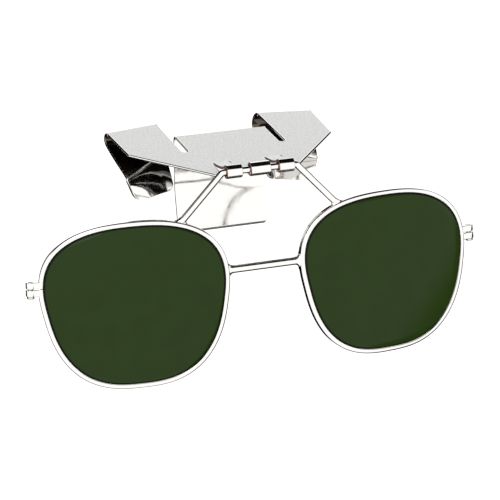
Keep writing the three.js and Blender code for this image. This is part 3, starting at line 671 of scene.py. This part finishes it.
def eye_edge(turn):
    """Edge of the lens in sight: x towards the temple and z up, turning from the temple upwards."""
    square = UPPER_SQUARENESS if math.sin(turn) > 0 else LOWER_SQUARENESS
    wide = abs(math.cos(turn) / (EYE_WIDTH / 2)) ** square
    tall = abs(math.sin(turn) / (EYE_HEIGHT / 2)) ** square
    reach = (wide + tall) ** (-1 / square)
    z = reach * math.sin(turn)
    return np.array((reach * math.cos(turn) * (1 + EYE_FLARE * z / (EYE_HEIGHT / 2)), 0, z))


def cup(x, z):
    """How far back the cupped rim and lens lie at a place on the eye."""
    sag = BASE_CURVE - math.sqrt(BASE_CURVE ** 2 - x * x - z * z)
    return sag - (BASE_CURVE - math.sqrt(BASE_CURVE ** 2 - eye_mean ** 2))


def rim_place(turn, out):
    """A point half-way back on the rim, with the directions out from it and along it."""
    run = eye_edge(turn + SMALL_TURN) - eye_edge(turn - SMALL_TURN)
    run /= np.linalg.norm(run)
    outward = np.array((run[2], 0, -run[0]))
    point = eye_edge(turn) + outward * out
    point[1] = cup(point[0], point[2])
    return point, outward, run


# A wire drawn along the edges of a line, its section taken from another line
swept_wire = bpy.data.node_groups.new("swept_wire", "GeometryNodeTree")
sockets = {}
for name, way, kind in (("Path", "INPUT", "Geometry"), ("Section", "INPUT", "Object"),
                        ("Section Size", "INPUT", "Float"), ("Finish", "INPUT", "Material"),
                        ("Wire", "OUTPUT", "Geometry")):
    sockets[name] = swept_wire.interface.new_socket(
        name, in_out=way, socket_type=f"NodeSocket{kind}").identifier
given = add(swept_wire, "NodeGroupInput")
line = add(swept_wire, "GeometryNodeMeshToCurve", {"Mesh": given.outputs["Path"]})
upright = add(swept_wire, "GeometryNodeSetCurveNormal", {"Curve": line.outputs[0]}, mode="Z_UP")
drawn = add(swept_wire, "GeometryNodeObjectInfo", {"Object": given.outputs["Section"]})
ring = add(swept_wire, "GeometryNodeMeshToCurve", {"Mesh": drawn.outputs["Geometry"]})
swept = add(swept_wire, "GeometryNodeCurveToMesh", {
    "Curve": upright.outputs[0], "Profile Curve": ring.outputs[0],
    "Scale": given.outputs["Section Size"], "Fill Caps": True})
whole = add(swept_wire, "GeometryNodeRealizeInstances", {"Geometry": swept.outputs[0]})
dressed = add(swept_wire, "GeometryNodeSetMaterial", {"Geometry": whole.outputs[0],
              "Material": given.outputs["Finish"]})
add(swept_wire, "NodeGroupOutput", {"Wire": dressed.outputs[0]})


def line_object(name, points, closed):
    """An object that is only a line, for a wire to follow or to take its section from."""
    mesh = bpy.data.meshes.new(name)
    edges = [(i, i + 1) for i in range(len(points) - 1)]
    mesh.from_pydata([tuple(p) for p in points], edges + [(len(points) - 1, 0)] * closed, [])
    return new_object(name, mesh)


def wire_mesh(points, section, size):
    """The mesh of a wire along a line of points, in the line's own frame."""
    path = line_object("wire_path", points, False)
    shape = line_object("wire_section", section, True)
    wire = path.modifiers.new("swept_wire", "NODES")
    wire.node_group = swept_wire
    wire[sockets["Section"]] = shape
    wire[sockets["Section Size"]] = size
    wire[sockets["Finish"]] = bright_nickel
    mesh = plain_mesh(path).data
    bpy.data.objects.remove(path)
    bpy.data.objects.remove(shape)
    bm = bmesh.new()
    bm.from_mesh(mesh)
    bmesh.ops.remove_doubles(bm, verts=bm.verts, dist=SAME_POINT)
    bmesh.ops.recalc_face_normals(bm, faces=bm.faces)
    return bm


def corner_arc(depth, out, radius, start):
    """A quarter round of a rim's section, about a point in depth and out."""
    return [(depth + radius * math.cos(start + t), out + radius * math.sin(start + t))
            for t in np.linspace(0, math.pi / 2, ROUND_STEPS + 1)]


half_depth = RIM_DEPTH / 2
front_half = [
    (GROOVE_FLOOR / 2, GROOVE_DEPTH),
    (GROOVE_MOUTH / 2, 0),
    *corner_arc(half_depth - LIP_ROUND, LIP_ROUND, LIP_ROUND, -math.pi / 2),
    *corner_arc(half_depth - RIM_ROUND, RIM_WIDTH - RIM_ROUND, RIM_ROUND, 0),
]
rim_section = front_half + [(-depth, out) for depth, out in reversed(front_half)]
slit = BLOCK_SLIT / 2 / (EYE_WIDTH / 2)
start = BLOCK_TURN + slit
rim_line = []
for turn in np.linspace(start, start + 2 * (math.pi - slit), RIM_STEPS + 1):
    point = eye_edge(turn)
    rim_line.append((point[0], point[2], -cup(point[0], point[2])))
# The line lies flat, and is stood up into the eye
stand_up = Matrix.Rotation(math.pi / 2, 4, "X")
for name, side in SIDES:
    bm = wire_mesh(rim_line, [(out, depth, 0) for depth, out in rim_section], 1.0)
    rim = finished(bm, f"{name}_eye_wire", eye_frames[side] @ stand_up, [bright_nickel], side < 0)
    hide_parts(f"{name}_rim")
    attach(rim, "lens_frame")


# Lenses
# Dark green filter glass, ground to the eye's shape and cupped, with a bevelled edge that sits in
# the groove of the rim. Polished on both faces.
LENS_THICKNESS = 2.0
LENS_BITE = 0.4
LENS_BEVEL = 1.0
LENS_EDGE = 0.3
LENS_RINGS = 14
LENS_STEPS = 160
GLASS_IOR = 1.52
GLASS_SPECULAR = 0.08  # low, because the photographed glass shows hardly any reflection
GLASS_COLOURS = ("#243511", "#283B15")
GLASS_CLOUD = 6.0
POLISH_ROUGHNESS = 0.04
POLISH_RIPPLE = 0.02
POLISH_BUMP = 0.05
# Painted shade: the ground edge of the lens is near-black, standing for the shade in the rim's groove
GROUND_EDGE_SHADE_COLOURS = ("#0C1207", "#161E0E")
GROUND_ROUGHNESS = 0.55
GROUND_GRIT = 0.3  # mm; real grinding marks are finer and wouldn't show


def all_round(count):
    """As many turns, spaced evenly round a circle."""
    return np.linspace(0, 2 * math.pi, count + 1)[:-1]


def add_skin(bm, loops):
    """Bands of faces from each loop of points to the next."""
    bands = []
    for near, far in zip(loops, loops[1:]):
        sides = [(i, (i + 1) % len(near)) for i in range(len(near))]
        bands.append([bm.faces.new((near[i], near[j], far[j], far[i])) for i, j in sides])
    return bands


# Green filter glass: so deep that it looks the same all over, with a faint reflection
filter_glass, tree, shader, place = new_finish("filter_glass_polished")
cloud = add(tree, "ShaderNodeTexNoise", {"Vector": place, "Scale": 1 / (GLASS_CLOUD * MM),
            "Detail": SLOW_DETAIL})
tone = add(tree, "ShaderNodeValToRGB", {"Fac": cloud.outputs["Fac"]})
for stop, colour in zip(tone.color_ramp.elements, GLASS_COLOURS):
    stop.color = linear(colour)
ripple = add(tree, "ShaderNodeBump", {"Height": cloud.outputs["Fac"], "Strength": POLISH_BUMP,
             "Distance": POLISH_RIPPLE * MM})
feed(tree, shader, {"Base Color": tone.outputs["Color"], "Roughness": POLISH_ROUGHNESS,
     "IOR": GLASS_IOR, "Specular IOR Level": GLASS_SPECULAR, "Normal": ripple.outputs["Normal"]})

# The same glass where the wheel ground its edge: matt, and painted near-black as the shade in the
# groove between lens and rim, so that it draws a near-black line inside the rim
edge_glass_painted_shade, tree, shader, place = new_finish("filter_glass_edge_painted_shade")
grit = add(tree, "ShaderNodeTexNoise", {"Vector": place, "Scale": 1 / (GROUND_GRIT * MM),
           "Detail": FINE_DETAIL})
tone = add(tree, "ShaderNodeValToRGB", {"Fac": grit.outputs["Fac"]})
for stop, colour in zip(tone.color_ramp.elements, GROUND_EDGE_SHADE_COLOURS):
    stop.color = linear(colour)
feed(tree, shader, {"Base Color": tone.outputs["Color"], "Roughness": GROUND_ROUGHNESS,
     "IOR": GLASS_IOR, "Specular IOR Level": GLASS_SPECULAR})

POLISHED, EDGE_SHADE = 0, 1
shoulder = 1 + (LENS_BITE - LENS_BEVEL) / eye_mean
rings = [(share, LENS_THICKNESS / 2) for share in np.linspace(0, shoulder, LENS_RINGS + 1)[1:]]
rings.append((1 + LENS_BITE / eye_mean, LENS_EDGE / 2))
rings += [(share, -face) for share, face in reversed(rings)]
bevel_bands = (LENS_RINGS - 1, LENS_RINGS, LENS_RINGS + 1)
edge_points = [eye_edge(turn) for turn in all_round(LENS_STEPS)]
for name, side in SIDES:
    bm = bmesh.new()
    loops = []
    for share, face in rings:
        places = [edge * share for edge in edge_points]
        loops.append([bm.verts.new((p[0], cup(p[0], p[2]) - face, p[2])) for p in places])
    for i, band in enumerate(add_skin(bm, loops)):
        for quad in band:
            quad.material_index = EDGE_SHADE if i in bevel_bands else POLISHED
    for loop, face in ((loops[0], 1), (loops[-1], -1)):
        middle = bm.verts.new((0, cup(0, 0) - face * LENS_THICKNESS / 2, 0))
        for i in range(LENS_STEPS):
            bm.faces.new((middle, loop[i], loop[(i + 1) % LENS_STEPS]))
    bmesh.ops.recalc_face_normals(bm, faces=bm.faces)
    lens = finished(bm, f"{name}_filter", eye_frames[side], [filter_glass, edge_glass_painted_shade], side < 0)
    lens.visible_glossy = False  # so that the inner wall of the rim stays bright
    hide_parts(f"{name}_lens")
    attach(lens, "lens_frame")


# Hinge yoke
# One bent steel wire: a straight bar held in the knuckles, and two arms splayed down to the rims,
# where their feet are brazed with a small fillet.
YOKE_DIAMETER = 2.0
YOKE_CORNER = 11.1
YOKE_BEND_RADII = (1.8, 1.8)
YOKE_STEPS = (10, 14)
FOOT_TURN = math.radians(119.7)
FOOT_SINK = 0.3  # how far the end of a wire goes into the rim
FOOT_FILLET = 1.5
FILLET_OVER = 1.01  # a fillet is this much thicker than the wire it starts on
FILLET_SINK = 0.1
FILLET_STEPS = 8
WIRE_SIDES = 40

round_section = [(math.cos(t) / 2, math.sin(t) / 2, 0) for t in all_round(WIRE_SIDES)]


def in_frame(vector, side, direction=False):
    """A point or direction of one eye, in the lens frame with its origin on the hinge axis."""
    eye = hinge_frame.inverted() @ eye_frames[side]
    moved = eye.to_3x3() @ Vector(vector) if direction else eye @ Vector(vector)
    return np.array(moved)


def add_fillet(bm, turn, side, wire_run, diameter, reach):
    """Braze metal drawn up between the end of a wire and the wall of the rim it stands on."""
    point, outward, run = rim_place(turn, RIM_WIDTH)
    foot = in_frame(point, side)
    wall, along = in_frame(outward, side, True), in_frame(run, side, True)
    first = np.cross(wire_run, along)
    first /= np.linalg.norm(first)
    second = np.cross(wire_run, first)
    corners = []
    for t in all_round(WIRE_SIDES):
        off = (first * math.cos(t) + second * math.sin(t)) * diameter / 2 * FILLET_OVER
        corners.append(foot + off - wire_run * (off @ wall) / (wire_run @ wall))
    widest = max(abs((c - foot) @ along) for c in corners)
    loops = []
    for t in np.linspace(0, 1, FILLET_STEPS + 1):
        loop = []
        for corner in corners:
            high = corner + wire_run * reach
            low = corner + along * reach * ((corner - foot) @ along) / widest - wall * FILLET_SINK
            loop.append(bm.verts.new((1 - t) ** 2 * high + 2 * t * (1 - t) * corner + t ** 2 * low))
        loops.append(loop)
    made = [bm.faces.new(loops[0]), bm.faces.new(loops[-1])]
    for band in add_skin(bm, loops):
        made += band
    bmesh.ops.recalc_face_normals(bm, faces=made)


feet = {side: in_frame(rim_place(FOOT_TURN, RIM_WIDTH - FOOT_SINK)[0], side) for name, side in SIDES}
yoke_line = bent_line([feet[-1], (-YOKE_CORNER, 0, 0), (YOKE_CORNER, 0, 0), feet[1]],
                      YOKE_BEND_RADII, YOKE_STEPS)
bm = wire_mesh(yoke_line, round_section, YOKE_DIAMETER)
for name, side in SIDES:
    arm = np.array((side * YOKE_CORNER, 0, 0)) - feet[side]
    add_fillet(bm, FOOT_TURN, side, arm / np.linalg.norm(arm), YOKE_DIAMETER, FOOT_FILLET)
yoke = finished(bm, "yoke_wire", hinge_frame, [bright_nickel])
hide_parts("hinge_yoke")
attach(yoke, "lens_frame")


# Bridge bar
# A straight length of round steel wire, a little thicker than the yoke's. It is cut to fit between
# the two rims and brazed across from one to the other, with a small fillet at each end.
BRIDGE_DIAMETER = 2.3
BRIDGE_TURN = math.radians(164)
BRIDGE_FILLET = 1.6
BRIDGE_STEPS = 8

ends = {side: in_frame(rim_place(BRIDGE_TURN, RIM_WIDTH - FOOT_SINK)[0], side) for name, side in SIDES}
bar = ends[1] - ends[-1]
bar_run = bar / np.linalg.norm(bar)
bar_line = [ends[-1] + bar * t for t in np.linspace(0, 1, BRIDGE_STEPS + 1)]
bm = wire_mesh(bar_line, round_section, BRIDGE_DIAMETER)
for name, side in SIDES:
    add_fillet(bm, BRIDGE_TURN, side, -side * bar_run, BRIDGE_DIAMETER, BRIDGE_FILLET)
bridge = finished(bm, "bridge_wire", hinge_frame, [bright_nickel])
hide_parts("bridge_bar")
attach(bridge, "lens_frame")


# Closing blocks
# Two small steel blocks on each rim, brazed to the ends of its wire either side of the slit. Each
# has a flat tab and a bored barrel for the screw that draws the rim tight on the lens.
BLOCK_REACH = 3.5
BLOCK_HEIGHT = 1.9
BLOCK_DEPTH = 2.2
BLOCK_SINK = 0.4  # how far a block goes into the rim
BLOCK_EDGE = 0.22
BARREL_DIAMETER = 2.8
BARREL_STEPS = 36
BORE_DIAMETER = 1.5

barrel_x = RIM_WIDTH + BLOCK_REACH - BARREL_DIAMETER / 2
block_end = BLOCK_SLIT / 2 + BLOCK_HEIGHT
point, outward, run = rim_place(BLOCK_TURN, 0)
block_place = Matrix.Translation(Vector(point)) @ Matrix(
    (Vector(outward), Vector((0, 1, 0)), Vector(run))).transposed().to_4x4()


def block_half(up):
    """One half of a closing block, x out from the rim and z along it."""
    radius = BARREL_DIAMETER / 2
    shut = math.asin(BLOCK_DEPTH / BARREL_DIAMETER)
    shape = [(RIM_WIDTH - BLOCK_SINK, -BLOCK_DEPTH / 2)]
    for t in np.linspace(-math.pi + shut, math.pi - shut, BARREL_STEPS + 1):
        shape.append((barrel_x + radius * math.cos(t), radius * math.sin(t)))
    shape.append((RIM_WIDTH - BLOCK_SINK, BLOCK_DEPTH / 2))
    bore = [(barrel_x + BORE_DIAMETER / 2 * math.cos(t), BORE_DIAMETER / 2 * math.sin(t))
            for t in all_round(BARREL_STEPS)]
    bm = bmesh.new()
    levels = (up * BLOCK_SLIT / 2, up * block_end)
    outer = [[bm.verts.new((x, y, z)) for x, y in shape] for z in levels]
    inner = [[bm.verts.new((x, y, z)) for x, y in bore] for z in levels]
    for loops in (outer, inner):
        add_skin(bm, loops)
    for level in zip(outer, inner):
        edges = [bm.edges.get((loop[i], loop[i - 1])) for loop in level for i in range(len(loop))]
        bmesh.ops.triangle_fill(bm, edges=edges, use_beauty=True)
    bmesh.ops.recalc_face_normals(bm, faces=bm.faces)
    rounded = [bm.edges.get((loop[i], loop[i - 1])) for loop in outer for i in range(len(loop))]
    round_edges(bm, rounded, BLOCK_EDGE)
    return bm


for name, side in SIDES:
    for half_name, up in (("upper", 1), ("lower", -1)):
        block = finished(block_half(up), f"{name}_{half_name}_block", eye_frames[side] @ block_place,
                         [bright_nickel], side < 0)
        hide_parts(f"{name}_{half_name}_closing_block")
        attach(block, "lens_frame")


# Closing screws
# Turned from steel bar, each with a slotted head. It comes up from below through a pair of blocks,
# and its shank is left plain where the real one has a fine thread.
SCREW_DIAMETER = 1.2
SCREW_CHAMFER = 0.1
SCREW_SLOT = (0.4, 0.35)  # width and depth
SCREW_STEPS = 40
HEAD_DIAMETER = 2.2
HEAD_HEIGHT = 0.7
HEAD_ROUND = 0.2
HEAD_ROUND_STEPS = 5
HEAD_GAP = 0.05
TURNED_COLOUR = "#BDBAB4"
TURNED_ROUGHNESS = (0.2, 0.34)
TOOL_MARK = 0.2  # mm; real tool marks are finer and wouldn't show
TOOL_DEPTH = 0.01
TOOL_BUMP = 0.2

# Turned steel: grey, and a little uneven in its shine from the marks of the tool
screw_steel, tree, shader, place = new_finish("turned_steel")
tooling = add(tree, "ShaderNodeTexNoise", {"Vector": place, "Scale": 1 / (TOOL_MARK * MM),
              "Detail": FINE_DETAIL})
marks = add(tree, "ShaderNodeBump", {"Height": tooling.outputs["Fac"], "Strength": TOOL_BUMP,
            "Distance": TOOL_DEPTH * MM})
dull = add(tree, "ShaderNodeMapRange", {
    "Value": tooling.outputs["Fac"], "From Min": NOISE_SPREAD[0], "From Max": NOISE_SPREAD[1],
    "To Min": TURNED_ROUGHNESS[0], "To Max": TURNED_ROUGHNESS[1]})
feed(tree, shader, {"Base Color": linear(TURNED_COLOUR), "Metallic": 1.0,
     "Roughness": dull.outputs[0], "Normal": marks.outputs["Normal"]})

head_top = -(block_end + HEAD_GAP)
head_bottom = head_top - HEAD_HEIGHT
screw_profile = [
    (HEAD_DIAMETER / 2 - HEAD_ROUND * (1 - math.sin(t)), head_bottom + HEAD_ROUND * (1 - math.cos(t)))
    for t in np.linspace(0, math.pi / 2, HEAD_ROUND_STEPS + 1)
]
screw_profile += [
    (HEAD_DIAMETER / 2, head_top),
    (SCREW_DIAMETER / 2, head_top),
    (SCREW_DIAMETER / 2, block_end - SCREW_CHAMFER),
    (SCREW_DIAMETER / 2 - SCREW_CHAMFER, block_end),
]
for name, side in SIDES:
    bm = bmesh.new()
    loops = []
    for radius, z in screw_profile:
        loops.append([bm.verts.new((barrel_x + radius * math.cos(t), radius * math.sin(t), z))
                      for t in all_round(SCREW_STEPS)])
    add_skin(bm, loops)
    bm.faces.new(loops[0])
    bm.faces.new(loops[-1])
    bmesh.ops.recalc_face_normals(bm, faces=bm.faces)
    screw = finished(bm, f"{name}_screw", Matrix.Identity(4), [screw_steel])
    bm = bmesh.new()
    bmesh.ops.create_cube(bm, size=1)
    bm.transform(Matrix.Translation((barrel_x, 0, head_bottom)) @ Matrix.Diagonal(
        (2 * HEAD_DIAMETER, SCREW_SLOT[0], 2 * SCREW_SLOT[1], 1)))
    cutter = new_object("screw_slot", bpy.data.meshes.new("screw_slot"))
    bm.to_mesh(cutter.data)
    bm.free()
    slot = screw.modifiers.new("screw_slot", "BOOLEAN")
    slot.object = cutter
    slot.solver = "EXACT"
    plain_mesh(screw)
    bpy.data.objects.remove(cutter)
    screw.data.transform(eye_frames[side] @ block_place)
    if side < 0:
        screw.data.flip_normals()
    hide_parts(f"{name}_closing_screw")
    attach(screw, "lens_frame")
